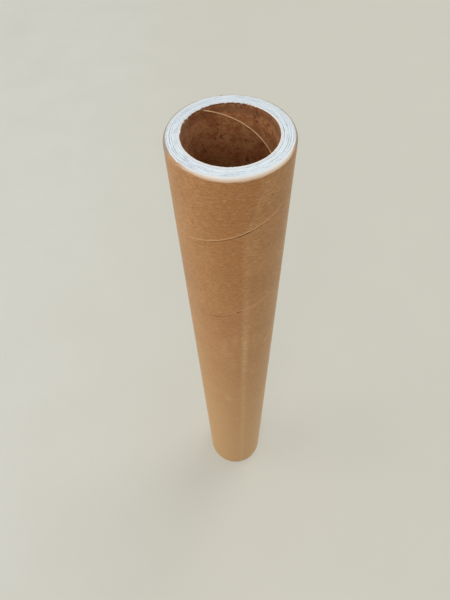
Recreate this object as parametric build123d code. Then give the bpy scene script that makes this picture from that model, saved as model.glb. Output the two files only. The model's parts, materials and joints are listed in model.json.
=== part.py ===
from build123d import *
import os

# Spiral-wound paper core tube, standing on its cut end. Millimetres, +Z up.
# The origin is the centre of the bottom end, and -Y is the front.

# Bore and wall, from the inside out
bore_diameter = 38.0
liner_thickness = 0.3
board_ply_thickness = 0.95
board_ply_count = 6
wrap_thickness = 0.5

# Length between the two cut ends
tube_length = 394.0

# Spiral winding: every strip climbs by the same lead in one turn, right-handed.
# A seam's drop is how far below the top end it passes its azimuth, and an azimuth
# is counted in degrees from the front, counter-clockwise as seen from above.
winding_lead = 57.5
wrap_seam_gap = 0.35
wrap_seam_drop = 29.8
wrap_seam_azimuth = 0.0
liner_seam_gap = 0.4
liner_seam_drop = 6.2
liner_seam_azimuth = 180.0
seam_foot_share = 0.1

# Cut ends: the knife rolls the outer strip's edge inwards and thins it
roll_height = 2.0
roll_inset = 0.8
rolled_edge_thickness = 0.35

# Glue lines between the board plies, open as small V grooves in both cut ends
glue_line_width = 0.22
glue_line_depth = 0.16

bore_radius = bore_diameter / 2
board_inner_radius = bore_radius + liner_thickness
board_outer_radius = board_inner_radius + board_ply_count * board_ply_thickness
tube_radius = board_outer_radius + wrap_thickness

# Radii in the plane of a cut end, where the roll squeezes the board
wrap_rim_radius = tube_radius - roll_inset
board_rim_radius = wrap_rim_radius - rolled_edge_thickness


def full_turn(outline):
    """Revolve a closed half section, drawn with X as the radius and Y as the height."""
    return revolve(Plane.XZ * make_face(outline), Axis.Z)


def rolled_side(side_radius, rim_radius):
    """The side line of a half section, straight and rolled in to the rims at both ends."""
    bottom_shoulder = (side_radius, roll_height)
    top_shoulder = (side_radius, tube_length - roll_height)
    bottom_roll = TangentArc(bottom_shoulder, (rim_radius, 0), tangent=(0, -1))
    top_roll = TangentArc(top_shoulder, (rim_radius, tube_length), tangent=(0, 1))
    return [bottom_roll, Line(bottom_shoulder, top_shoulder), top_roll]


def tapered_side(side_radius, rim_radius):
    """The same between two glued layers, where the squeezed shoulders are plain tapers."""
    bottom_shoulder = (side_radius, roll_height)
    top_shoulder = (side_radius, tube_length - roll_height)
    bottom_taper = Line((rim_radius, 0), bottom_shoulder)
    top_taper = Line(top_shoulder, (rim_radius, tube_length))
    return [bottom_taper, Line(bottom_shoulder, top_shoulder), top_taper]


def straight_side(radius):
    """The side line of a half section that is straight from end to end."""
    return [Line((radius, 0), (radius, tube_length))]


def sleeve(outer_side, inner_side, outer_rim, inner_rim):
    """A round wall between two sides, cut flat at both ends from rim to rim."""
    bottom_end = Line((inner_rim, 0), (outer_rim, 0))
    top_end = Line((inner_rim, tube_length), (outer_rim, tube_length))
    return full_turn([*outer_side, top_end, *inner_side, bottom_end])


def butt_seam(face_radius, depth, gap, drop, azimuth):
    """
    The helical slot between two turns of a strip, from its open face to a depth that is
    negative towards the axis. It narrows with depth, as the strip's cut edges splay
    apart at the face, and it runs out past both ends of the tube.
    """
    overrun = 4 * gap
    path = Helix(winding_lead, tube_length + 2 * overrun, face_radius)
    foot = gap * seam_foot_share / 2
    mouth = gap - foot
    corners = [(-depth, -mouth), (-depth, mouth), (depth, foot), (depth, -foot)]
    start = Plane(path @ 0, x_dir=(1, 0, 0), z_dir=path % 0)
    slot = sweep(start * make_face(Polyline(*corners, close=True)), path, is_frenet=True)
    turned = 360 * (tube_length + overrun - drop) / winding_lead
    return Rot(Z=azimuth - 90 - turned) * Pos(Z=-overrun) * slot


def build_outer_wrap():
    """The brown outer strip, wound edge to edge, with its cut edges rolled in over the rims."""
    wrap = sleeve(
        rolled_side(tube_radius, wrap_rim_radius),
        tapered_side(board_outer_radius, board_rim_radius),
        wrap_rim_radius,
        board_rim_radius,
    )
    depth = board_rim_radius - tube_radius - wrap_thickness
    return wrap - butt_seam(tube_radius, depth, wrap_seam_gap, wrap_seam_drop, wrap_seam_azimuth)


def glue_line_radius(ply):
    """Where the outside of a ply shows in a cut end: the roll squeezes the outer plies most."""
    radius = board_inner_radius + ply * board_ply_thickness
    squeeze = board_outer_radius - board_rim_radius
    return radius - squeeze * (ply / board_ply_count) ** 2


def glue_lines():
    """V grooves round both cut ends, one for each glue line between two board plies."""
    grooves = []
    for ply in range(1, board_ply_count):
        radius = glue_line_radius(ply)
        for end, inward in ((0, 1), (tube_length, -1)):
            corners = [
                (radius - glue_line_width / 2, end),
                (radius, end + inward * glue_line_depth),
                (radius + glue_line_width / 2, end),
            ]
            grooves.append(full_turn(Polyline(*corners, close=True)))
    return grooves


def build_board_wall():
    """The pale board: its plies glued into one wall, squeezed in under the rolled edges."""
    wall = sleeve(
        tapered_side(board_outer_radius, board_rim_radius),
        straight_side(board_inner_radius),
        board_rim_radius,
        board_inner_radius,
    )
    return wall - glue_lines()


def build_inner_liner():
    """The brown inner strip, wound edge to edge, whose inside is the bore."""
    liner = sleeve(
        straight_side(board_inner_radius),
        straight_side(bore_radius),
        board_inner_radius,
        bore_radius,
    )
    depth = 2 * liner_thickness
    return liner - butt_seam(bore_radius, depth, liner_seam_gap, liner_seam_drop, liner_seam_azimuth)


def main():
    nodes = {
        "outer_wrap": build_outer_wrap(),
        "board_wall": build_board_wall(),
        "inner_liner": build_inner_liner(),
    }
    os.makedirs("parts", exist_ok=True)
    for name, solid in nodes.items():
        export_step(solid, f"parts/{name}.step")
        print(name, "solids", len(solid.solids()), "volume", round(solid.volume, 1))


main()
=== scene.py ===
"""Paper core tube: its wound strips, cut ends and paper finishes, and a plain stage."""

import json
import math

import bpy
import numpy as np
from bpy.props import FloatProperty, FloatVectorProperty, IntProperty, PointerProperty
from bpy.types import Operator, Panel, PropertyGroup
from mathutils import Matrix, Vector, noise


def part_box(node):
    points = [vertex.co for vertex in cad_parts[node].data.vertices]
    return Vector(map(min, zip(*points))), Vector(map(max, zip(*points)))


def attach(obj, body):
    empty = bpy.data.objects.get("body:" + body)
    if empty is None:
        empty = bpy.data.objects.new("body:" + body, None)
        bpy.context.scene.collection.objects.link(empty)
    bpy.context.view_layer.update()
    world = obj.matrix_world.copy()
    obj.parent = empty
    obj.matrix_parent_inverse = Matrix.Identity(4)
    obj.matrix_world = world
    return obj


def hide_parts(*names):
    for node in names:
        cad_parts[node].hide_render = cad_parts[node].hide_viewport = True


bl_info = {
    "name": "Paper Core Tube",
    "version": (1, 0, 0),
    "blender": (4, 5, 0),
    "location": "View3D > Sidebar > Paper Core",
    "description": "Builds a spiral-wound paper core tube on its packed frame, with a plain stage",
    "category": "Object",
}

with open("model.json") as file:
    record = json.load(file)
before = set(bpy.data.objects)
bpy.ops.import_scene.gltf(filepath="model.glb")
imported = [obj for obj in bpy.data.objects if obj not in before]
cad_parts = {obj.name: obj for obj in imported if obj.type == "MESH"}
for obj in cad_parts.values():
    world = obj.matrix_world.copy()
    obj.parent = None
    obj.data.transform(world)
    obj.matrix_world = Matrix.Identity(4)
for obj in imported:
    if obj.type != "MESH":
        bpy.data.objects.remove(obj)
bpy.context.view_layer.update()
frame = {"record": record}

MM = 0.001
WRAP_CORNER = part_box("outer_wrap")[1]
BOARD_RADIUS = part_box("board_wall")[1].x
LINER_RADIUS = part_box("inner_liner")[1].x
MOUNTS = {mount["name"]: mount for mount in frame["record"]["mounts"]}
BORE_RADIUS = MOUNTS["core_bore"]["dims"]["r_mm"] * MM


def length(name, description, default):
    """A length that a user may change."""
    return FloatProperty(
        name=name, description=description, default=default, unit="LENGTH", precision=5, min=0.0
    )


def number(name, description, default, **limits):
    """A plain number that a user may change."""
    return FloatProperty(name=name, description=description, default=default, **limits)


def angle(name, description, degrees):
    """An angle that a user may change."""
    return number(name, description, math.radians(degrees), subtype="ANGLE")


def colour(name, description, default):
    """A paint that a user may change, in linear values."""
    return FloatVectorProperty(
        name=name, description=description, default=default, subtype="COLOR", size=3, min=0, max=1
    )


# Properties


class CoreSizes(PropertyGroup):
    """The tube's sizes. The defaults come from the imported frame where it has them."""

    tube_radius: length("Tube radius", "Outside of the outer strip", WRAP_CORNER.x)
    board_radius: length("Board radius", "Outside of the pale board", BOARD_RADIUS)
    liner_radius: length("Liner radius", "Outside of the inner strip", LINER_RADIUS)
    bore_radius: length("Bore radius", "Inside of the inner strip", BORE_RADIUS)
    tube_length: length("Tube length", "Between the two cut ends", WRAP_CORNER.z)
    winding_lead: length("Winding lead", "How far a strip climbs in one turn", 57.5 * MM)
    wrap_seam_drop: length("Outer seam drop", "Below the top end at the front", 29.8 * MM)
    liner_seam_drop: length("Inner seam drop", "Below the top end at the back", 6.2 * MM)
    roll_height: length("Roll height", "Of the rolled edge at a cut end", 2.0 * MM)
    roll_inset: length("Roll inset", "How far the edge rolls in over the rim", 0.8 * MM)
    rolled_edge: length("Rolled edge", "Thickness of the outer strip in the rim", 0.35 * MM)
    foot_spread: length("Foot spread", "How far standing presses the lower roll out", 0.45 * MM)
    paper_clearance: length("Paper clearance", "Of the paper's face below its lips", 0.06 * MM)
    glue_line_width: length("Glue line width", "Of a groove between two plies", 0.22 * MM)
    glue_line_depth: length("Glue line depth", "Of a groove between two plies", 0.14 * MM)
    board_plies: IntProperty(
        name="Board plies", description="Plies in the pale board", default=6, min=1
    )


class CoreColours(PropertyGroup):
    """The paper's colours."""

    kraft_light: colour("Kraft, light", "Light clouds of the outer strip", (0.53, 0.265, 0.094))
    kraft_dark: colour("Kraft, dark", "Dark clouds of the outer strip", (0.43, 0.198, 0.061))
    # Painted light: the outer strip is painted paler towards the foot, as if lit from the floor
    kraft_foot_lit: colour("Kraft, low", "Paler outer strip towards the foot", (0.57, 0.311, 0.109))
    # Also the painted shade in the outer seam's gap
    kraft_fleck: colour("Kraft fleck", "Dark flecks in the outer strip", (0.21, 0.080, 0.022))
    # Painted shade: the front of the outer strip near the top end is painted deeper and darker
    kraft_front_shade: colour("Kraft, rich", "Deeper front of the outer strip", (0.43, 0.165, 0.036))
    # A light streak down the front of the outer strip
    kraft_streak: colour("Kraft, scuffed", "Dull rubbed streak", (0.84, 0.57, 0.30))
    kraft_worn: colour("Kraft, worn", "Scuffed and rolled brown paper", (0.87, 0.675, 0.505))
    kraft_shade: colour("Kraft, shaded", "Grey-brown edge of the rim", (0.33, 0.275, 0.215))
    # Also the seam's lip, partly a painted highlight
    kraft_torn: colour("Kraft, torn", "Torn brown fibres of the rim", (0.66, 0.38, 0.19))
    cut_cream: colour("Cut edge", "Torn fibres of a cut paper edge", (0.83, 0.795, 0.75))
    board_white: colour("Board", "Face of the pale board", (0.80, 0.868, 0.895))
    board_warm: colour("Board, warm", "Edges of the pale board", (0.77, 0.745, 0.73))
    # Also the painted shade at the back of the cut end
    board_grey: colour("Board, grey", "Hollows between the board's fibres", (0.50, 0.55, 0.60))
    glue_grey: colour("Glue line", "Glue lines between the plies", (0.25, 0.29, 0.36))
    liner_light: colour("Liner, light", "Light clouds of the inner strip", (0.54, 0.262, 0.104))
    liner_dark: colour("Liner, dark", "Dark clouds of the inner strip", (0.355, 0.130, 0.040))
    # Painted shade: the inner strip is painted darker and redder below its top turn, deeper in the bore
    liner_deep_shade: colour("Liner, deep", "Redder inner strip below its top turn", (0.20, 0.050, 0.010))
    # Also the board's brown smears and its painted shade, and the painted shade under the inner strip's
    # top edge
    liner_spot: colour("Liner spot", "Dark spots of the inner strip", (0.11, 0.030, 0.012))
    liner_edge: colour("Liner edge", "Light edge of the inner seam", (0.95, 0.69, 0.40))


class StageLook(PropertyGroup):
    """Floor, light and camera."""

    floor_colour: colour("Floor", "Plain pale floor", (0.635, 0.618, 0.535))
    # Painted light: the floor's left side is painted lighter
    floor_left_lit: colour("Floor, left", "The floor's left side", (0.665, 0.655, 0.590))
    floor_shine: number("Floor shine", "Share of the floor that is seen lit evenly", 0.42, min=0, max=1)
    sky_strength: number("Sky", "Even light from all round", 0.52, min=0)
    key_power: number("Key light", "Soft light from behind, right", 31.0, min=0, unit="POWER")
    side_power: number("Side light", "Low soft light from the left", 16.0, min=0, unit="POWER")
    front_power: number("Front light", "Soft light from the front", 13.0, min=0, unit="POWER")
    camera_back: length("Camera distance", "In front of the tube's axis", 143.4 * MM)
    camera_above: length("Camera height", "Above the tube's top end", 104.5 * MM)
    focal_length: number("Focal length", "Of the camera, in millimetres", 26.68, min=1)
    camera_pitch: angle("Pitch", "Down from level", 56.657)
    camera_yaw: angle("Yaw", "To the right", -1.855)
    camera_roll: angle("Roll", "Of the frame", -2.528)


# Meshes


def ripple(points, size, seed=0.0):
    """Smooth noise from -1 to 1 at an array of points, whose waves are about one size long."""
    flat = np.asarray(points, float).reshape(-1, 3) / size + seed
    values = [noise.noise(Vector(p)) for p in flat]
    return np.array(values).reshape(np.shape(points)[:-1])


def along(values, size, seed=0.0):
    """Smooth noise from -1 to 1 along one line of values."""
    points = np.zeros((len(values), 3))
    points[:, 0] = values
    points[:, 1] = 0.37
    return ripple(points, size, seed)


def bell(offset, width):
    """1 at an offset of 0, falling off smoothly to both sides."""
    return np.exp(-((offset / width) ** 2))


def between(value, start, end, soft):
    """1 inside a span and 0 outside it, with soft flanks."""
    rise = np.clip((value - start) / soft + 0.5, 0, 1)
    fall = np.clip((end - value) / soft + 0.5, 0, 1)
    return rise * fall


def near_top(heights, top, reach):
    """0 up to a reach below the top end, and from there rising to 1 at the top."""
    return np.clip((heights - (top - reach)) / reach, 0, 1)


def read_table(table, value):
    """Reads a table of places and values at any value in between."""
    places, values = zip(*table)
    return np.interp(value, places, values)


def from_front(turned):
    """The azimuth of an angle, in degrees from -180 to 180, 0 at the front."""
    return (np.degrees(turned) + 180) % 360 - 180


def around_axis(angles, radius, height=0.0):
    """Points round the axis. An angle of 0 is the front, and angles grow towards the right."""
    across = radius * np.sin(angles)
    return np.stack([across, -radius * np.cos(angles), height + 0 * across], -1)


def closed_rings(count, size, capped):
    """Quads between rings of vertices in a row, round the rings, with the row's ends capped."""
    ring = np.arange(size)
    after = (ring + 1) % size
    start = np.arange(count - 1 if capped else count)[:, None] * size
    following = (start + size) % (count * size)
    quads = np.stack([start + ring, following + ring, following + after, start + after], -1)
    faces = quads.reshape(-1, 4).tolist()
    if capped:
        faces.append(ring.tolist())
        faces.append((ring[::-1] + (count - 1) * size).tolist())
    return faces


def make_piece(name, rings, capped, values, sharp_angle=35):
    """A smooth mesh from rings of points, with named values that its finish reads."""
    count, size = rings.shape[:2]
    mesh = bpy.data.meshes.new(name)
    mesh.from_pydata(rings.reshape(-1, 3).tolist(), [], closed_rings(count, size, capped))
    mesh.validate()
    for key, data in values.items():
        vector = data.ndim == 3
        kind, field = ("FLOAT_VECTOR", "vector") if vector else ("FLOAT", "value")
        layer = mesh.attributes.new(key, kind, "POINT")
        layer.data.foreach_set(field, np.ascontiguousarray(data, np.float32).ravel())
    mesh.shade_smooth()
    mesh.set_sharp_from_angle(angle=math.radians(sharp_angle))
    piece = bpy.data.objects.new(name, mesh)
    bpy.context.scene.collection.objects.link(piece)
    return piece


# Rows of a strip near a cut edge or seam, as distances from it
EDGE_ROWS = np.array([0, 0.07, 0.16, 0.28, 0.42, 0.6, 0.85, 1.2, 1.6, 2.0]) * MM


def spread_rows(width, middle_rows):
    """Distances from the lower edge of a strip for its rows, close together near both edges."""
    share = np.linspace(0, 0.35, len(EDGE_ROWS))[:, None]
    near = np.minimum(EDGE_ROWS[:, None], share * width)
    inner = np.linspace(0, 1, middle_rows + 2)[1:-1, None]
    middle = near[-1] + (width - 2 * near[-1]) * inner
    return np.concatenate([near, middle, width - near[::-1]])


def winding_angles(first, last, steps):
    """Angles from one tip of a strip to the other. steps are (turns, degrees) from the top."""
    angles = [last]
    for turns, degrees in steps:
        end = max(first, last - turns * math.tau)
        count = max(2, round((angles[-1] - end) / math.radians(degrees)))
        angles += list(np.linspace(angles[-1], end, count + 1)[1:])
        if end == first:
            break
    return np.array(angles[::-1])


def wound_strip(name, sizes, seam, sides, push, steps, rows, marks):
    """
    A strip of paper wound edge to edge. seam(angle) gives the middle height and the gap of
    the seam below a turn; sides(height, depth) the radius and height of the wall from its
    open face, depth 0, to its glued face, depth 1; push(...) how far the open face lies
    behind that; marks(...) the values that the finish reads.
    """
    lead, top = sizes.winding_lead, sizes.tube_length
    tip = 0.35 * MM  # width of the strip's pointed ends
    rise = lead / math.tau
    base = seam(np.zeros(1))[0][0]
    first = -(base + lead - tip) / rise
    last = (top - tip - base) / rise
    angles = winding_angles(first, last, steps)
    low_mid, low_gap = seam(angles)
    high_mid, high_gap = seam(angles + math.tau)
    low = np.maximum(low_mid + low_gap / 2, 0)
    high = np.minimum(high_mid - high_gap / 2, top)
    width = np.maximum(high - low, tip / 4)
    open_rows = spread_rows(width, rows[0])
    shares = np.linspace(0, 1, rows[1])[:, None]
    glued_rows = shares[::-1] * width
    edge = np.ones((2, 1)) * width
    offsets = np.concatenate([open_rows, edge, glued_rows, 0 * edge]).T
    depths = np.concatenate(
        [np.zeros(len(open_rows)), [1 / 3, 2 / 3], np.ones(rows[1]), [2 / 3, 1 / 3]]
    )
    heights = low[:, None] + offsets
    turned = np.broadcast_to(angles[:, None], heights.shape)
    depth = np.broadcast_to(depths, heights.shape)
    below_high = width[:, None] - offsets
    pushed = push(turned, heights, offsets, below_high) * (1 - depth)
    radius, level = sides(heights, depth, turned)
    radius = radius + pushed
    rings = around_axis(turned, radius, level)
    run = math.hypot(sizes.tube_radius, rise)
    lean = sizes.tube_radius / run
    laid = np.stack([turned * run + offsets * rise / run, offsets * lean, 0 * offsets], -1)
    values = {"laid": laid, **marks(turned, heights, offsets, below_high, depth)}
    return make_piece(name, rings, True, values)


def rim_radius(sizes):
    """Outside of the board in a cut end, under the rolled edge."""
    return sizes.tube_radius - sizes.roll_inset - sizes.rolled_edge


def rolled_profile(sizes, heights, depth):
    """Radius and height of the outer strip, straight in the middle and rolled in at both ends."""
    roll, inset = sizes.roll_height, sizes.roll_inset
    sweep = 2 * math.atan2(inset, roll)
    bend = roll / math.sin(sweep)
    top = sizes.tube_length
    into_top = np.clip((heights - (top - roll)) / roll, 0, 1)
    into_bottom = np.clip((roll - heights) / roll, 0, 1)
    into = into_top + into_bottom
    spread = sizes.foot_spread * into_bottom**2
    open_radius = sizes.tube_radius - bend * (1 - np.cos(into * sweep)) + spread
    glued_radius = sizes.board_radius + (rim_radius(sizes) - sizes.board_radius) * into
    radius = open_radius + (glued_radius - open_radius) * depth
    risen = bend * np.sin(into * sweep)
    open_level = np.where(into_top > 0, top - roll + risen, roll - risen)
    open_level = np.where(into > 0, open_level, heights)
    level = open_level + (heights - open_level) * depth
    return radius, level


# The outer strip

# How open the outer seam is, how far it sags below its spiral, both in millimetres, and how
# proud its lip stands, from 0 to 1, by degrees from the front. The first list is the turn
# nearest the top end, the second the next and the third all turns below.
SEAM_OPENING = (
    ((-180, 0.30), (-60, 0.12), (-35, 0.14), (-10, 0.32), (3, 0.42), (12, 0.62), (28, 0.56),
     (35, 0.30), (55, 0.14), (110, 0.28), (180, 0.30)),
    ((-180, 0.25), (-40, 0.08), (-30, 0.12), (-22, 0.42), (-8, 0.52), (-2, 0.40), (2, 0.12),
     (5, 0.14), (6, 1.20), (8, 1.20), (9.5, 0.14), (60, 0.08), (180, 0.25)),
    ((-180, 0.25), (-120, 0.20), (-80, 0.05), (80, 0.05), (120, 0.20), (180, 0.25)),
)
SEAM_SAG = (
    ((-180, 0), (-45, 0.2), (0, 0.7), (20, 0.8), (35, 0.5), (60, 0), (180, 0)),
    ((-180, 0), (-45, 1.2), (-27, 1.8), (-4, 1.7), (3, 0.5), (8, 0.1), (16, 0.6), (40, 1.2),
     (80, 0.2), (180, 0)),
    ((-180, 0), (180, 0)),
)
SEAM_LIP = (
    ((-180, 0.4), (-55, 0.3), (-35, 0.7), (0, 0.9), (28, 1.0), (42, 0.9), (58, 0.4), (180, 0.4)),
    ((-180, 0.3), (-45, 0.1), (0, 0.15), (9, 0.8), (36, 0.8), (60, 0.2), (180, 0.3)),
    ((-180, 0.3), (-90, 0.0), (90, 0.0), (180, 0.3)),
)

# Where the rim's edge is worn to light fibres and painted with a highlight, where it is torn, and where
# the tube has its light streak, each as first and last degree from the front
WORN_RIM = (-45, 67)
TORN_RIM = (-64, -50)
STREAK_SPAN = (11, 18)

# By distance below the top end in tube radii: how clearly the light streak shows, where the painted
# shade that deepens the front's colour ends in degrees to the right, and how strong that painted shade
# is
STREAK_SHOWS = ((0, 0), (2.6, 0.2), (4, 0.45), (4.7, 1.0), (6, 1.0), (6.6, 0.5), (15, 0.3))
FRONT_SHADE_RIGHT = ((0, 27), (0.3, 24), (1.2, 11.5), (15, 11.5))
FRONT_SHADE_SHOWS = ((0, 1), (2, 0.9), (4, 0.5), (8, 0.15))

# How fine the strip's mesh is: turns and degrees a step from the top end, then its rows
# across the open and the glued face
WRAP_STEPS = ((1.15, 0.9), (1.0, 1.3), (9, 3.0))
WRAP_ROWS = (34, 5)

# Small marks on the outer strip: what they are, degrees from the front, millimetres below
# the top end, half their width in degrees, half their height in millimetres, and strength
SMALL_MARKS = (
    ("scuff", -12, 126, 5, 7, 0.4), ("scuff", -5, 133, 5, 3, 0.5), ("scuff", -2, 150, 5, 6, 0.4),
    ("scuff", -10, 206, 5, 7, 0.5), ("scuff", 2, 118, 3, 6, 0.4), ("torn", 48, 130.5, 2.2, 2.0, 0.5),
    ("gap", 45.5, 126, 1.6, 1.2, 0.9), ("gap", -35, 17, 1.2, 0.5, 0.6), ("gap", 37, 12, 1.2, 0.6, 0.6),
)


def by_turn(turned, tables):
    """Reads a table of each of the top turns, and the last table for the turns below."""
    turn = np.clip(-np.floor((turned + math.pi) / math.tau), 0, len(tables) - 1)
    azimuth = from_front(turned)
    result = np.zeros_like(turned, float)
    for index, table in enumerate(tables):
        result = np.where(turn == index, read_table(table, azimuth), result)
    return result


def torn_depth(turned):
    """How deep the outer strip's rim is torn at the left of the front."""
    azimuth = from_front(turned)
    ragged = 0.55 + 0.45 * ripple(np.stack([azimuth / 3.5, 0 * azimuth, 0 * azimuth], -1), 1, 3.3)
    return 0.8 * MM * between(azimuth, *TORN_RIM, 4) * ragged


def rim_marks(azimuth, drop, depth, cut, ragged):
    """Worn paper with a painted highlight, cream, shaded and torn paper at the top rim. drop is how far
    below the top end.
    """
    front = between(azimuth, *WORN_RIM, 16)
    middle = between(azimuth, -20, 60, 26)
    back = between(azimuth % 360, 138, 222, 26)
    rolled = between(drop + ragged, -1 * MM, (0.95 + 0.55 * middle) * MM, 0.2 * MM)
    faded = 1 - 0.45 * np.clip(drop / (1.8 * MM), 0, 1)
    # Worn fibres, and a painted highlight where the rolled edge catches the light at the front
    worn = rolled * faded * (0.5 + 0.5 * middle) * front
    cream = np.clip(1.2 - drop / (0.7 * MM), 0, 1) * front * (0.5 + 0.5 * middle)
    cream = np.maximum(cream, 0.55 * back * between(drop, -1 * MM, 1.5 * MM, 0.8 * MM))
    inner = np.clip(depth * 1.5, 0, 1)
    rubbed = between(azimuth, WORN_RIM[0], WORN_RIM[1] + 18, 22)
    cream = np.where(cut, np.maximum(rubbed, inner * (0.3 + 0.35 * back)), cream)
    beside = 1 - between(azimuth, TORN_RIM[0], WORN_RIM[1] + 4, 10)
    shade = beside * between(drop, -1 * MM, 2.0 * MM, 1.2 * MM) * 0.9
    torn = 0.5 * between(azimuth, TORN_RIM[0] - 2, TORN_RIM[1] + 3, 5) * np.exp(-drop / (1.1 * MM))
    return {"worn": worn, "cream": cream, "shade": shade, "torn": torn}


def front_marks(azimuth, radii_down):
    """The light streak, and the painted shade that deepens the colour of the tube's front."""
    scuff = between(azimuth, *STREAK_SPAN, 5) * read_table(STREAK_SHOWS, radii_down)
    # Painted shade: the front near the top end is painted deeper
    rich = np.clip((azimuth + 30) / 50 + 0.5, 0, 1)
    rich = rich * np.clip((read_table(FRONT_SHADE_RIGHT, radii_down) - azimuth) / 5 + 0.5, 0, 1)
    return {"scuff": scuff, "rich": rich * read_table(FRONT_SHADE_SHOWS, radii_down)}


class CORETUBE_OT_outer_wrap(Operator):
    """Wind the brown outer strip and roll its edges in over the rims"""

    bl_idname = "coretube.outer_wrap"
    bl_label = "Outer wrap"

    def execute(self, context):
        sizes = context.scene.core_sizes
        top = sizes.tube_length

        def seam(angles):
            turns_below = sizes.winding_lead * angles / math.tau
            waver = 0.08 * MM * along(angles, 0.22, 3.1) + 0.04 * MM * along(angles, 0.05, 1.1)
            opening = by_turn(angles, SEAM_OPENING) * (1 + 0.35 * along(angles, 0.07, 8.4))
            sag = by_turn(angles, SEAM_SAG) * MM
            return top - sizes.wrap_seam_drop - sag + turns_below + waver, opening * MM

        def push(turned, heights, above_low, below_high):
            place = around_axis(turned, sizes.tube_radius, heights)
            behind = sizes.paper_clearance * (1 + 0.5 * ripple(place, 17 * MM, 5.2))
            stretched = np.stack([turned * 2.0, heights / (1.6 * MM), 0 * heights], -1)
            behind = behind + 0.014 * MM * ripple(stretched, 1.0, 1.7)
            lip = by_turn(turned, SEAM_LIP) * bell(above_low, 0.42 * MM)
            tucked = bell(below_high, 0.4 * MM) * 0.06 * MM
            tucked = np.where(heights > top - sizes.roll_height, 0, tucked)
            at_rim = np.minimum(heights, top - heights)
            fray = 0.05 * MM * ripple(place, 0.8 * MM, 2.2) * np.exp(-at_rim / (0.8 * MM))
            lifted = torn_depth(turned) * bell(top - heights, 0.9 * MM)
            rough = 0.45 * lifted * (1 + ripple(place, 0.5 * MM, 4.2))
            return -np.maximum(behind * (1 - lip) + tucked + fray + rough, 0)

        def sides(heights, depth, turned):
            radius, level = rolled_profile(sizes, heights, depth)
            at_top = near_top(heights, top, 2.2 * MM)
            ragged = 0.07 * MM * along(turned[:, 0], 0.03, 6.6)[:, None] * at_top
            lowered = torn_depth(turned) * at_top + np.abs(ragged)
            return radius, np.minimum(level - lowered, top)

        def marks(turned, heights, above_low, below_high, depth):
            azimuth = from_front(turned)
            ends = np.minimum(heights, top - heights)
            drop = top - heights
            # Light fibres along the seam's lip, partly a painted highlight where the proud lip catches
            # the light
            lip = 0.9 * by_turn(turned, SEAM_LIP) * bell(above_low, 0.6 * MM)
            lip = np.where((depth < 0.5) & (ends > 2 * MM), lip, 0)
            ragged = 0.2 * MM * ripple(around_axis(turned, 9.0), 1.0, 7.7)
            cut = (depth > 0.01) & (ends < 0.01 * MM)
            # Painted shade: the strip's cut edges and the lower strip's top edge along the seam are
            # painted dark, as its gap in shade
            gap = np.where((depth > 0.3) & (ends > 0.01 * MM), 1.0, 0.0)
            below = bell(below_high, 0.35 * MM) * (ends > 2 * MM)
            gap = np.maximum(gap, np.clip(1.4 * below * by_turn(turned, SEAM_OPENING), 0, 1))
            values = {
                **rim_marks(azimuth, drop, depth, cut, ragged),
                **front_marks(azimuth, drop / sizes.tube_radius),
                "gap": gap,
                "lip": lip,
            }
            for mark, degrees, down, wide, high, strength in SMALL_MARKS:
                off = ((azimuth - degrees) / wide) ** 2 + ((drop / MM - down) / high) ** 2
                values[mark] = np.maximum(values[mark], strength * np.exp(-off))
            level = np.stack([turned * sizes.tube_radius, heights, 0 * heights], -1)
            return {**values, "level": level}

        wrap = wound_strip("wound_wrap", sizes, seam, sides, push, WRAP_STEPS, WRAP_ROWS, marks)
        wrap.data.materials.append(kraft_finish(context.scene.core_colours, sizes))
        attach(wrap, "root")
        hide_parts("outer_wrap")
        return {"FINISHED"}


# The pale board

# How clearly each glue line shows round a cut end, from the innermost line outwards, by
# degrees from the front
GLUE_SHOWS = (
    ((-180, 0.25), (-90, 0.45), (-60, 0.3), (20, 0.6), (100, 0.7), (140, 0.2), (180, 0.25)),
    ((-180, 0.3), (-75, 0.15), (-45, 0.55), (-20, 0.2), (60, 0.1), (150, 0.4), (180, 0.3)),
    ((-180, 0.35), (-140, 0.7), (-95, 0.45), (-70, 1.0), (-30, 0.9), (-5, 0.35), (30, 0.55),
     (55, 1.0), (72, 0.95), (95, 0.4), (180, 0.35)),
    ((-180, 0.3), (-120, 0.75), (-95, 1.0), (-75, 0.55), (-20, 0.35), (0, 0.85), (20, 0.5),
     (60, 0.35), (80, 0.9), (105, 0.5), (180, 0.3)),
    ((-180, 0.2), (-150, 0.1), (-90, 0.35), (-60, 0.45), (0, 0.3), (85, 0.45), (100, 0.5),
     (180, 0.2)),
)


def glue_radii(sizes):
    """Radii of the glue lines in a cut end, where the roll squeezes the outer plies most."""
    squeeze = sizes.board_radius - rim_radius(sizes)
    ply = np.arange(1, sizes.board_plies)
    thickness = (sizes.board_radius - sizes.liner_radius) / sizes.board_plies
    return sizes.liner_radius + ply * thickness - squeeze * (ply / sizes.board_plies) ** 2


def board_rows(sizes, rim, lines):
    """Radii of the board's rows in a cut end, close together at the edges and glue lines."""
    rows = [sizes.liner_radius + share * MM for share in (0, 0.06, 0.15, 0.3)]
    step = sizes.glue_line_width / 3
    for line in lines:
        rows += [line + step * count for count in range(-3, 4)]
        rows += [line + share * MM for share in (0.36, 0.48, 0.64)]
    rows += [rim - share * MM for share in (0.25, 0.12, 0.04, 0)]
    return np.unique(np.clip(rows, sizes.liner_radius, rim))


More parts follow.
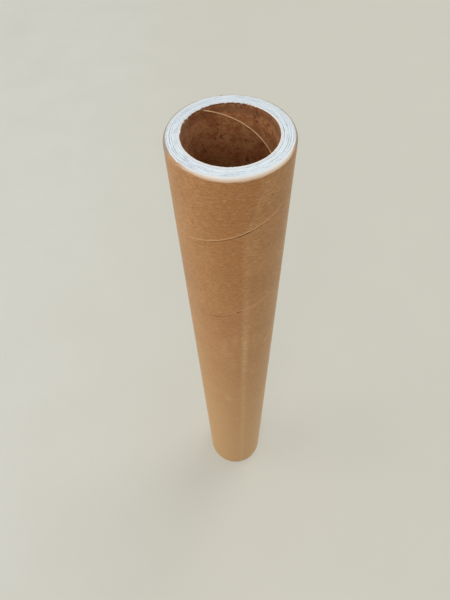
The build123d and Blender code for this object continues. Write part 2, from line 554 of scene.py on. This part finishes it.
class CORETUBE_OT_board_wall(Operator):
    """Cut the pale board, whose plies show in both ends"""

    bl_idname = "coretube.board_wall"
    bl_label = "Board wall"

    def execute(self, context):
        sizes = context.scene.core_sizes
        top = sizes.tube_length
        columns = 480
        angles = np.linspace(0, math.tau, columns, endpoint=False)
        azimuth = from_front(angles)
        lines = glue_radii(sizes)
        rim = rim_radius(sizes)
        rows = board_rows(sizes, rim, lines)
        radii = np.broadcast_to(rows, (columns, len(rows)))
        turned = np.broadcast_to(angles[:, None], radii.shape)

        def cut_end(seed, chipped, torn):
            """Radii, hollows below the cut plane, glue marks and stains of one end."""
            inside = between(radii, sizes.liner_radius + 0.3 * MM, rim - 0.2 * MM, 0.3 * MM)
            place = around_axis(turned, radii)
            circling = around_axis(turned, 2.2, radii / (1.3 * MM))
            drift = 0.22 * MM * ripple(circling, 1.0, seed)
            hollow = 0.03 * MM * (1 + ripple(place, 1.1 * MM, seed + 3))
            hollow = hollow + 0.03 * MM * (1 + ripple(circling * 3, 1.0, seed + 7))
            glue = np.zeros_like(radii)
            for index, line in enumerate(lines):
                shows = read_table(GLUE_SHOWS[index % len(GLUE_SHOWS)], azimuth)
                shows = shows * (1 + 0.5 * along(angles, 0.10, seed + 2 * index))
                shows = np.clip(shows, 0, 1)[:, None]
                glue = np.maximum(glue, shows * bell(radii - line, sizes.glue_line_width / 2))
            hollow = hollow + sizes.glue_line_depth * glue
            crumb = np.clip(ripple(place, 0.7 * MM, seed + 11) - 0.05, 0, 1)
            inner = np.exp(-((radii - sizes.liner_radius) / (0.28 * MM)))
            hollow = hollow + chipped[:, None] * 0.8 * MM * crumb * inner
            outer = np.exp(-((rim - radii) / (0.35 * MM)))
            hollow = hollow + 0.05 * MM * outer * (1 + ripple(place, 1.6 * MM, seed + 13))
            hollow = hollow + 0.5 * torn[:, None] * outer
            stain = np.clip(chipped[:, None] * crumb * 2.5 * inner, 0, 1)
            return radii + drift * inside, hollow, glue, stain

        behind = between(azimuth % 360, 150, 255, 12) * 0.9 + 0.1
        upper = cut_end(seed=1.3, chipped=behind, torn=torn_depth(angles))
        lower = cut_end(seed=21.9, chipped=np.full(columns, 0.3), torn=np.zeros(columns))
        clear = 0.02 * MM
        wall_levels = [top - sizes.roll_height, top / 2, sizes.roll_height]
        bore_levels = np.linspace(1.0 * MM, top - 1.0 * MM, 7)
        outside = np.full(len(wall_levels), sizes.board_radius - clear)
        bore_wall = np.full(len(bore_levels), sizes.liner_radius + clear)

        def around(top_end, wall, bottom_end, bore):
            """One row of values for each ring, from the bore over the top and back inside."""
            rows_of = (top_end, wall, bottom_end[:, ::-1], bore)
            filled = [np.broadcast_to(rows, (columns, np.shape(rows)[-1])) for rows in rows_of]
            return np.concatenate(filled, 1)[:, ::-1]

        radius = around(upper[0], outside, lower[0], bore_wall)
        level = around(top - upper[1], wall_levels, lower[1], bore_levels)
        # The outside is painted dark all over, as painted shade in the outer seam's gap, and the bore
        # is lined, where only seams show them
        values = {
            "glue": around(upper[2], 0 * outside, lower[2], 0 * bore_wall),
            "stain": around(upper[3], 0 * outside + 1, lower[3], 0 * bore_wall),
            "lining": around(0 * upper[3], 0 * outside, 0 * lower[3], 0 * bore_wall + 1),
        }
        spun = np.broadcast_to(angles[:, None], radius.shape)
        rings = around_axis(spun, radius, level)
        board = make_piece("board_plies", rings, False, values)
        board.data.materials.append(board_finish(context.scene.core_colours, sizes))
        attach(board, "root")
        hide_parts("board_wall")
        return {"FINISHED"}


# The inner strip

# How fine the strip's mesh is, as for the outer strip
LINER_STEPS = ((1.1, 0.75), (9, 3.0))
LINER_ROWS = (12, 4)


class CORETUBE_OT_inner_liner(Operator):
    """Wind the brown inner strip, whose inside is the bore"""

    bl_idname = "coretube.inner_liner"
    bl_label = "Inner liner"

    def execute(self, context):
        sizes = context.scene.core_sizes
        top = sizes.tube_length

        def seam(angles):
            turns_below = sizes.winding_lead * (angles - math.pi) / math.tau
            waver = 0.05 * MM * along(angles, 0.3, 4.7)
            opening = 0.34 + 0.08 * along(angles, 0.25, 9.4)
            return top - sizes.liner_seam_drop + turns_below + waver, opening * MM

        def push(turned, heights, above_low, below_high):
            place = around_axis(turned, sizes.bore_radius, heights)
            wave = 0.03 * MM * (1 + ripple(place, 9 * MM, 2.9))
            grain = 0.012 * MM * (1 + ripple(place, 2.2 * MM, 7.3))
            ledge = 0.30 * MM * bell(below_high, 0.3 * MM)
            ledge = np.where(heights > top - MM, 0, ledge)
            return wave + grain - ledge

        def sides(heights, depth, turned):
            thickness = sizes.liner_radius - sizes.bore_radius
            radius = sizes.bore_radius + thickness * depth
            rim = around_axis(turned, sizes.bore_radius)
            azimuth = from_front(turned) % 360
            rough = between(azimuth, 150, 272, 14) * 0.8 + 0.2
            at_top = near_top(heights, top, 0.9 * MM)
            burr = np.clip(ripple(rim, 0.9 * MM, 12.5) - 0.15, 0, 1) * rough
            dip = np.clip(ripple(rim, 1.1 * MM, 15.5) - 0.1, 0, 1) * rough
            radius = radius - 0.8 * MM * burr * at_top * (1 - depth)
            return radius, heights - (1.2 * MM * dip + 0.03 * MM) * at_top

        def marks(turned, heights, above_low, below_high, depth):
            azimuth = from_front(turned) % 360
            drop = top - heights
            ragged = between(azimuth, 158, 255, 14)
            seen = between(azimuth, 95, 292, 20)
            cut = np.clip(1 - np.minimum(heights, drop) / (0.12 * MM), 0, 1) * (1 - 0.9 * ragged)
            ledge = bell(below_high, 0.16 * MM) * (drop > 1.2 * MM)
            shade = seen * between(drop, 0.1 * MM, 0.7 * MM, 0.4 * MM) * 0.55
            shade = np.maximum(shade, ragged * between(drop, -MM, 0.4 * MM, 0.4 * MM) * 0.8)
            near_rim = bell(drop - 2.4 * MM, 1.7 * MM)
            shade = np.maximum(shade, 0.52 * near_rim * between(azimuth, 70, 275, 30))
            # Painted shade deeper in the bore, below the top turn
            deep = np.clip((1.5 - turned) / 3, 0, 1)
            return {"cut": cut, "ledge": ledge, "shade": shade, "deep": deep}

        liner = wound_strip("wound_liner", sizes, seam, sides, push, LINER_STEPS, LINER_ROWS, marks)
        liner.data.flip_normals()
        liner.data.materials.append(liner_finish(context.scene.core_colours))
        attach(liner, "root")
        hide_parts("inner_liner")
        return {"FINISHED"}


# Finishes

# Where a seam of the board shows through the outer strip, across the strip from its lower edge
GHOST_ACROSS = 20.0 * MM


class Finish:
    """A paper finish: a material, its shader and short ways to add nodes to it."""

    def __init__(self, name, roughness, specular):
        self.material = bpy.data.materials.new(name)
        self.material.use_nodes = True
        self.tree = self.material.node_tree
        self.tree.nodes.clear()
        output = self.tree.nodes.new("ShaderNodeOutputMaterial")
        self.shader = self.tree.nodes.new("ShaderNodeBsdfPrincipled")
        self.shader.inputs["Roughness"].default_value = roughness
        self.shader.inputs["Specular IOR Level"].default_value = specular
        self.tree.links.new(self.shader.outputs["BSDF"], output.inputs["Surface"])

    def put(self, socket, value):
        """Link a socket to another, or set its value."""
        if isinstance(value, bpy.types.NodeSocket):
            self.tree.links.new(value, socket)
        elif value is not None:
            socket.default_value = value

    def sheen(self, weight, roughness, tint):
        """The dull shine of paper fibres at a low angle."""
        self.shader.inputs["Sheen Tint"].default_value = (*tint, 1.0)
        self.shader.inputs["Sheen Weight"].default_value = weight
        self.shader.inputs["Sheen Roughness"].default_value = roughness

    def add(self, kind, inputs):
        """A new node whose inputs, by name or number, are linked or set."""
        node = self.tree.nodes.new(kind)
        for key, value in inputs.items():
            self.put(node.inputs[key], value)
        return node

    def attribute(self, name, output="Fac"):
        node = self.add("ShaderNodeAttribute", {})
        node.attribute_name = name
        return node.outputs[output]

    def place(self):
        return self.add("ShaderNodeTexCoord", {}).outputs["Object"]

    def calc(self, operation, first, second=None):
        node = self.add("ShaderNodeMath", {0: first, 1: second})
        node.operation = operation
        return node.outputs[0]

    def times(self, first, second):
        return self.calc("MULTIPLY", first, second)

    def from_axis(self, x, y):
        """The distance from the tube's axis."""
        return self.calc("SQRT", self.calc("ADD", self.times(x, x), self.times(y, y)))

    def split(self, vector):
        return self.add("ShaderNodeSeparateXYZ", {0: vector}).outputs

    def join(self, x, y, z):
        return self.add("ShaderNodeCombineXYZ", {0: x, 1: y, 2: z}).outputs[0]

    def noise(self, vector, scale=1.0, detail=2.0, roughness=0.5, distortion=0.0):
        node = self.add("ShaderNodeTexNoise", {
            "Vector": vector, "Scale": scale, "Detail": detail, "Roughness": roughness,
            "Distortion": distortion,
        })
        return node.outputs["Fac"]

    def streaks(self, vector, per_metre, detail, roughness, distortion=0.0):
        """Noise with its own number of waves a metre along each of a vector's first two axes."""
        node = self.add("ShaderNodeVectorMath", {0: vector, 1: (*per_metre, 0.0)})
        node.operation = "MULTIPLY"
        return self.noise(node.outputs[0], 1.0, detail, roughness, distortion)

    def between(self, value, low, high):
        """0 below low and 1 above high, or the other way round where low is the larger."""
        first, last = (0.0, 1.0) if low < high else (1.0, 0.0)
        node = self.add("ShaderNodeMapRange", {
            "Value": value, "From Min": min(low, high), "From Max": max(low, high),
            "To Min": first, "To Max": last,
        })
        node.interpolation_type = "SMOOTHSTEP"
        return node.outputs["Result"]

    def mix(self, factor, first, second):
        node = self.tree.nodes.new("ShaderNodeMix")
        node.data_type = "RGBA"
        self.put(node.inputs["Factor"], factor)
        for socket, value in ((node.inputs["A"], first), (node.inputs["B"], second)):
            self.put(socket, value if isinstance(value, bpy.types.NodeSocket) else (*value, 1.0))
        return node.outputs["Result"]

    def over(self, paint, colour, amount, *shares):
        """A paint with a colour laid over it, by the product of an amount and its shares."""
        for share in shares:
            amount = self.times(amount, share)
        return self.mix(amount, paint, colour)

    def bump(self, height, distance, strength=1.0, normal=None):
        return self.add("ShaderNodeBump", {
            "Strength": strength, "Distance": distance, "Height": height, "Normal": normal,
        }).outputs["Normal"]

    def finish(self, paint, normal, roughness=None):
        self.put(self.shader.inputs["Base Color"], paint)
        self.put(self.shader.inputs["Normal"], normal)
        self.put(self.shader.inputs["Roughness"], roughness)
        return self.material


def kraft_clouds(paper, colours, sizes, place, height, fine_clouds):
    """The outer strip from afar: clouds, painted light that makes it paler towards the foot, and
    painted shade that deepens its front.
    """
    clouds = paper.noise(place, 70.0, 3.0, 0.5)
    blend = paper.calc("ADD", paper.times(clouds, 0.45), paper.times(fine_clouds, 0.55))
    paint = paper.mix(paper.between(blend, 0.34, 0.66), colours.kraft_dark, colours.kraft_light)
    # Painted light: paler towards the foot
    low = paper.between(height, 0.95 * sizes.tube_length, 0.2 * sizes.tube_length)
    paint = paper.over(paint, colours.kraft_foot_lit, low, 0.85)
    return paper.over(paint, colours.kraft_front_shade, paper.attribute("rich"), 0.7)


def kraft_grain(paper, colours, sizes, paint, place, height, level, fibres):
    """Fibres and flecks over the outer strip's paint, fainter towards the foot."""
    clear = paper.calc("ADD", paper.times(height, 0.6 / sizes.tube_length), 0.4)
    mottle = paper.streaks(level, (330.0, 1250.0), 3.0, 0.6)
    paint = paper.over(paint, colours.kraft_fleck, paper.between(mottle, 0.66, 0.30), clear, 0.42)
    paint = paper.over(paint, colours.kraft_fleck, paper.between(fibres, 0.60, 0.32), clear, 0.36)
    pale = paper.streaks(level, (560.0, 1900.0), 3.0, 0.65, 0.3)
    paint = paper.over(paint, colours.kraft_worn, paper.between(pale, 0.48, 0.75), clear, 0.19)
    specks = paper.noise(place, 1000.0, 1.0, 0.5)
    paint = paper.over(paint, colours.kraft_torn, paper.between(specks, 0.72, 0.82), 0.5)
    flecks = paper.noise(place, 820.0, 1.0, 0.5)
    return paper.over(paint, colours.kraft_fleck, paper.between(flecks, 0.31, 0.22), 0.7)


def ghost_line(paper, sizes, place, height, laid):
    """The faint line of a board seam that shows through the outer strip near the top."""
    off = paper.calc("ABSOLUTE", paper.calc("SUBTRACT", paper.split(laid)[1], GHOST_ACROSS))
    ghost = paper.between(off, 0.28 * MM, 0.05 * MM)
    ghost = paper.times(ghost, paper.between(paper.noise(place, 48.0, 1.0, 0.5), 0.40, 0.56))
    high_up = paper.between(height, 0.85 * sizes.tube_length, 0.9 * sizes.tube_length)
    return paper.times(ghost, high_up)


def kraft_wear(paper, colours, paint, place, level):
    """A light streak, the seam and the rims over the outer strip's paint, with painted shade and
    highlights at seam and rims.
    """
    streak_noise = paper.streaks(level, (170.0, 420.0), 3.0, 0.6)
    dashes = paper.calc("ADD", paper.times(paper.between(streak_noise, 0.35, 0.70), 0.6), 0.3)
    # A light streak along the tube, in dashes
    paint = paper.over(paint, colours.kraft_streak, paper.attribute("scuff"), dashes, 0.45)
    paint = paper.over(paint, colours.kraft_shade, paper.attribute("shade"))
    # Light fibres along the seam's lip, partly a painted highlight
    paint = paper.over(paint, colours.kraft_torn, paper.attribute("lip"))
    # Painted shade in the outer seam's gap and at small dark gaps
    paint = paper.over(paint, colours.kraft_fleck, paper.attribute("gap"))
    fluff = paper.noise(place, 1400.0, 3.0, 0.65)
    rubbed = paper.between(fluff, 0.15, 0.38)
    # Worn fibres on the rolled rim, partly a painted highlight
    paint = paper.over(paint, colours.kraft_worn, paper.attribute("worn"), rubbed)
    fluffy = paper.between(fluff, 0.12, 0.34)
    paint = paper.over(paint, colours.cut_cream, paper.attribute("cream"), fluffy)
    torn = paper.attribute("torn")
    tatters = paper.between(paper.noise(place, 1500.0, 2.0, 0.6), 0.50, 0.62)
    paint = paper.over(paint, colours.kraft_torn, torn)
    return paper.over(paint, colours.kraft_worn, torn, tatters, 0.45)


def kraft_finish(colours, sizes):
    """Brown wrapping paper: clouds, fibres along the strip, flecks and worn edges, with painted light
    and shade.
    """
    paper = Finish("brown_wrap_paper", roughness=0.62, specular=0.4)
    paper.sheen(0.19, 0.35, (1.0, 0.94, 0.76))
    place = paper.place()
    height = paper.split(place)[2]
    laid = paper.attribute("laid", "Vector")
    level = paper.attribute("level", "Vector")
    fine_clouds = paper.streaks(laid, (240.0, 420.0), 4.0, 0.6)
    fibres = paper.streaks(laid, (520.0, 1900.0), 3.0, 0.65, 0.4)
    ghost = ghost_line(paper, sizes, place, height, laid)
    paint = kraft_clouds(paper, colours, sizes, place, height, fine_clouds)
    paint = kraft_grain(paper, colours, sizes, paint, place, height, level, fibres)
    paint = paper.over(paint, colours.kraft_torn, ghost, 0.2)
    paint = kraft_wear(paper, colours, paint, place, level)
    normal = paper.bump(fibres, 0.05 * MM, 0.8)
    normal = paper.bump(paper.noise(place, 2400.0, 3.0, 0.6), 0.02 * MM, 0.8, normal)
    normal = paper.bump(ghost, 0.01 * MM, 1.0, normal)
    rough = paper.calc("ADD", paper.times(fine_clouds, 0.16), 0.54)
    return paper.finish(paint, normal, rough)


def board_finish(colours, sizes):
    """Pale board: concentric fibres in the cut ends, grey glue lines, brown stains and painted shade.
    """
    board = Finish("pale_board_paper", roughness=0.85, specular=0.25)
    place = board.place()
    x, y = board.split(place)[:2]
    radius = board.from_axis(x, y)
    circling = board.join(board.times(x, 150.0), board.times(y, 150.0), board.times(radius, 1700.0))
    fibres = board.noise(circling, 1.0, 3.0, 0.65)
    fluff = board.noise(place, 1000.0, 3.0, 0.65)
    layers = board.between(fibres, 0.50, 0.30)
    paint = board.over(colours.board_white, colours.board_grey, layers, 0.9)
    paint = board.over(paint, colours.board_grey, board.between(fluff, 0.48, 0.28), 0.5)
    # Painted shade: the back half of the cut end is painted greyer
    paint = board.over(paint, colours.board_grey, board.between(y, -0.01, 0.02), 0.2)
    rim = rim_radius(sizes)
    inner = board.between(radius, sizes.liner_radius + 1.1 * MM, sizes.liner_radius + 0.3 * MM)
    outer = board.between(radius, rim - 0.9 * MM, rim - 0.1 * MM)
    warm = board.calc("MAXIMUM", board.times(inner, 0.8), board.times(outer, 0.5))
    paint = board.over(paint, colours.board_warm, warm)
    paint = board.over(paint, colours.glue_grey, board.attribute("glue"))
    paint = board.over(paint, colours.liner_edge, board.attribute("lining"))
    # Brown smears at the chipped bore edge, and painted shade on the outside under the outer seam's gap
    stained = board.between(fluff, 0.15, 0.4)
    paint = board.over(paint, colours.liner_spot, board.attribute("stain"), stained)
    normal = board.bump(fibres, 0.07 * MM, 0.9)
    normal = board.bump(fluff, 0.04 * MM, 0.7, normal)
    return board.finish(paint, normal)


def liner_finish(colours):
    """Brown liner paper: clouds and dark spots, with a light seam, a shaded top edge and painted shade
    deeper in the bore.
    """
    paper = Finish("brown_liner_paper", roughness=0.7, specular=0.35)
    paper.sheen(0.12, 0.4, (1.0, 0.97, 0.9))
    place = paper.place()
    clouds = paper.noise(place, 210.0, 5.0, 0.72)
    spots = paper.noise(place, 290.0, 3.0, 0.6, 0.4)
    fluff = paper.noise(place, 1300.0, 3.0, 0.6)
    fibres = paper.streaks(paper.attribute("laid", "Vector"), (420.0, 1300.0), 4.0, 0.65, 0.3)
    paint = paper.mix(paper.between(clouds, 0.36, 0.62), colours.liner_dark, colours.liner_light)
    # Painted shade deeper in the bore
    paint = paper.over(paint, colours.liner_deep_shade, paper.attribute("deep"), 0.17)
    paint = paper.over(paint, colours.liner_spot, paper.between(fibres, 0.52, 0.30), 0.7)
    paint = paper.over(paint, colours.liner_spot, paper.between(spots, 0.41, 0.29), 0.75)
    paint = paper.over(paint, colours.liner_spot, paper.attribute("shade"))
    paint = paper.over(paint, colours.liner_edge, paper.attribute("ledge"))
    fluffy = paper.between(fluff, 0.15, 0.4)
    paint = paper.over(paint, colours.cut_cream, paper.attribute("cut"), fluffy)
    normal = paper.bump(fibres, 0.05 * MM, 1.0)
    normal = paper.bump(fluff, 0.03 * MM, 0.8, normal)
    return paper.finish(paint, normal)


# The stage

# Metres from the tube: the floor's edge, where its clouds and the painted light on its left side fade
# out, and where it turns to evenly lit
FLOOR_HALF = 4.0
CLOUDS_START, CLOUDS_END = 1.1, 1.7
EVEN_START, EVEN_END = 1.05, 1.55

# Soft lights: name, which power, side of the square and place, in metres
SOFT_LIGHTS = (
    ("key_light", "key_power", 1.8, (1.3, 1.3, 2.6)),
    ("side_light", "side_power", 1.4, (-2.0, -0.1, 0.75)),
    ("front_light", "front_power", 1.6, (-0.3, -1.8, 1.5)),
)


def seen_itself(tree):
    """1 for rays that show a thing itself, straight, mirrored or through glass, else 0."""
    rays = tree.nodes.new("ShaderNodeLightPath").outputs
    seen = rays["Is Camera Ray"]
    for kind in ("Is Glossy Ray", "Is Transmission Ray"):
        either = tree.nodes.new("ShaderNodeMath")
        either.operation = "MAXIMUM"
        tree.links.new(seen, either.inputs[0])
        tree.links.new(rays[kind], either.inputs[1])
        seen = either.outputs[0]
    return seen


def floor_finish(look):
    """Plain pale floor. The camera sees part of it evenly lit, which softens the shadow."""
    floor = Finish("pale_floor", roughness=0.9, specular=0.2)
    place = floor.place()
    x, y = floor.split(place)[:2]
    away = floor.from_axis(x, y)
    near = floor.between(away, CLOUDS_END, CLOUDS_START)
    shaded = tuple(0.965 * c for c in look.floor_colour)
    clouds = floor.between(floor.noise(place, 11.0, 4.0, 0.55), 0.3, 0.7)
    grain = floor.noise(place, 420.0, 4.0, 0.65)
    # Painted light: the floor's left side is lighter
    paint = floor.over(look.floor_colour, look.floor_left_lit, floor.between(x, -0.02, -0.30), near)
    paint = floor.over(paint, shaded, clouds, near, 0.35)
    paint = floor.over(paint, shaded, floor.between(grain, 0.55, 0.30), 0.25)
    floor.finish(paint, floor.bump(grain, 0.1 * MM, 0.4))
    glow = floor.add("ShaderNodeEmission", {"Color": paint})
    shine = floor.add("ShaderNodeMapRange", {
        "Value": away, "From Min": EVEN_START, "From Max": EVEN_END, "To Min": look.floor_shine,
    })
    evenly = floor.times(seen_itself(floor.tree), shine.outputs["Result"])
    layers = {0: evenly, 1: floor.shader.outputs[0], 2: glow.outputs[0]}
    mixed = floor.add("ShaderNodeMixShader", layers)
    floor.put(floor.tree.nodes["Material Output"].inputs["Surface"], mixed.outputs[0])
    return floor.material


def soft_light(name, power, size, place, target):
    """A square area lamp that faces a point."""
    lamp = bpy.data.lights.new(name, "AREA")
    lamp.energy = power
    lamp.shape = "SQUARE"
    lamp.size = size
    holder = bpy.data.objects.new(name, lamp)
    holder.location = place
    holder.rotation_euler = (Vector(target) - Vector(place)).to_track_quat("-Z", "Y").to_euler()
    bpy.context.scene.collection.objects.link(holder)


def even_sky(scene, look):
    """Even light all round. What the camera sees of it has the floor's colour."""
    world = bpy.data.worlds.new("even_sky")
    world.use_nodes = True
    tree = world.node_tree
    tree.nodes.clear()
    light = tree.nodes.new("ShaderNodeBackground")
    light.inputs["Color"].default_value = (0.97, 0.99, 1.0, 1.0)
    light.inputs["Strength"].default_value = look.sky_strength
    seen = tree.nodes.new("ShaderNodeBackground")
    seen.inputs["Color"].default_value = (*look.floor_colour, 1.0)
    mixed = tree.nodes.new("ShaderNodeMixShader")
    tree.links.new(seen_itself(tree), mixed.inputs["Fac"])
    tree.links.new(light.outputs[0], mixed.inputs[1])
    tree.links.new(seen.outputs[0], mixed.inputs[2])
    output = tree.nodes.new("ShaderNodeOutputWorld")
    tree.links.new(mixed.outputs[0], output.inputs["Surface"])
    scene.world = world


class CORETUBE_OT_stage(Operator):
    """Lay the floor, hang the lights and set the camera"""

    bl_idname = "coretube.stage"
    bl_label = "Stage"

    def execute(self, context):
        scene, look = context.scene, context.scene.stage_look
        top = scene.core_sizes.tube_length
        mesh = bpy.data.meshes.new("floor")
        half = FLOOR_HALF
        corners = [(-half, -half, 0), (half, -half, 0), (half, half, 0), (-half, half, 0)]
        mesh.from_pydata(corners, [], [(0, 1, 2, 3)])
        floor = bpy.data.objects.new("floor", mesh)
        scene.collection.objects.link(floor)
        floor.data.materials.append(floor_finish(look))
        for name, power, size, place in SOFT_LIGHTS:
            soft_light(name, getattr(look, power), size, place, target=(0, 0, top / 2))
        even_sky(scene, look)
        lens = bpy.data.cameras.new("photo_camera")
        lens.lens = look.focal_length
        lens.clip_start = 0.005
        camera = bpy.data.objects.new("photo_camera", lens)
        scene.collection.objects.link(camera)
        camera.matrix_world = camera_place(look, top)
        scene.camera = camera
        scene.view_settings.view_transform = "Standard"
        return {"FINISHED"}


def camera_place(look, top):
    """Where the camera stands, from its distance, height and three angles."""
    pitch, yaw, roll = look.camera_pitch, look.camera_yaw, look.camera_roll
    ahead = Vector(
        (math.sin(yaw) * math.cos(pitch), math.cos(yaw) * math.cos(pitch), -math.sin(pitch))
    )
    right = Vector((math.cos(yaw), -math.sin(yaw), 0))
    up = right.cross(ahead)
    rolled_right = math.cos(roll) * right + math.sin(roll) * up
    rolled_up = math.cos(roll) * up - math.sin(roll) * right
    turn = Matrix((rolled_right, rolled_up, -ahead)).transposed().to_4x4()
    return Matrix.Translation((0, -look.camera_back, top + look.camera_above)) @ turn


# Panel and registration


class CORETUBE_PT_panel(Panel):
    """Sizes, colours and the pieces of the tube"""

    bl_label = "Paper core tube"
    bl_idname = "CORETUBE_PT_panel"
    bl_space_type = "VIEW_3D"
    bl_region_type = "UI"
    bl_category = "Paper Core"

    def draw(self, context):
        for name, group in GROUPS.items():
            box = self.layout.box()
            for key in group.__annotations__:
                box.prop(getattr(context.scene, name), key)
        for operator in OPERATORS:
            self.layout.operator(operator.bl_idname)


GROUPS = {"core_sizes": CoreSizes, "core_colours": CoreColours, "stage_look": StageLook}
OPERATORS = (
    CORETUBE_OT_outer_wrap,
    CORETUBE_OT_board_wall,
    CORETUBE_OT_inner_liner,
    CORETUBE_OT_stage,
)
CLASSES = (*GROUPS.values(), *OPERATORS, CORETUBE_PT_panel)


def register():
    for cls in CLASSES:
        bpy.utils.register_class(cls)
    for key, group in GROUPS.items():
        setattr(bpy.types.Scene, key, PointerProperty(type=group))


def unregister():
    for key in GROUPS:
        delattr(bpy.types.Scene, key)
    for cls in reversed(CLASSES):
        bpy.utils.unregister_class(cls)


def main():
    register()
    bpy.ops.coretube.outer_wrap()
    bpy.ops.coretube.board_wall()
    bpy.ops.coretube.inner_liner()
    bpy.ops.coretube.stage()


if __name__ == "__main__":
    main()
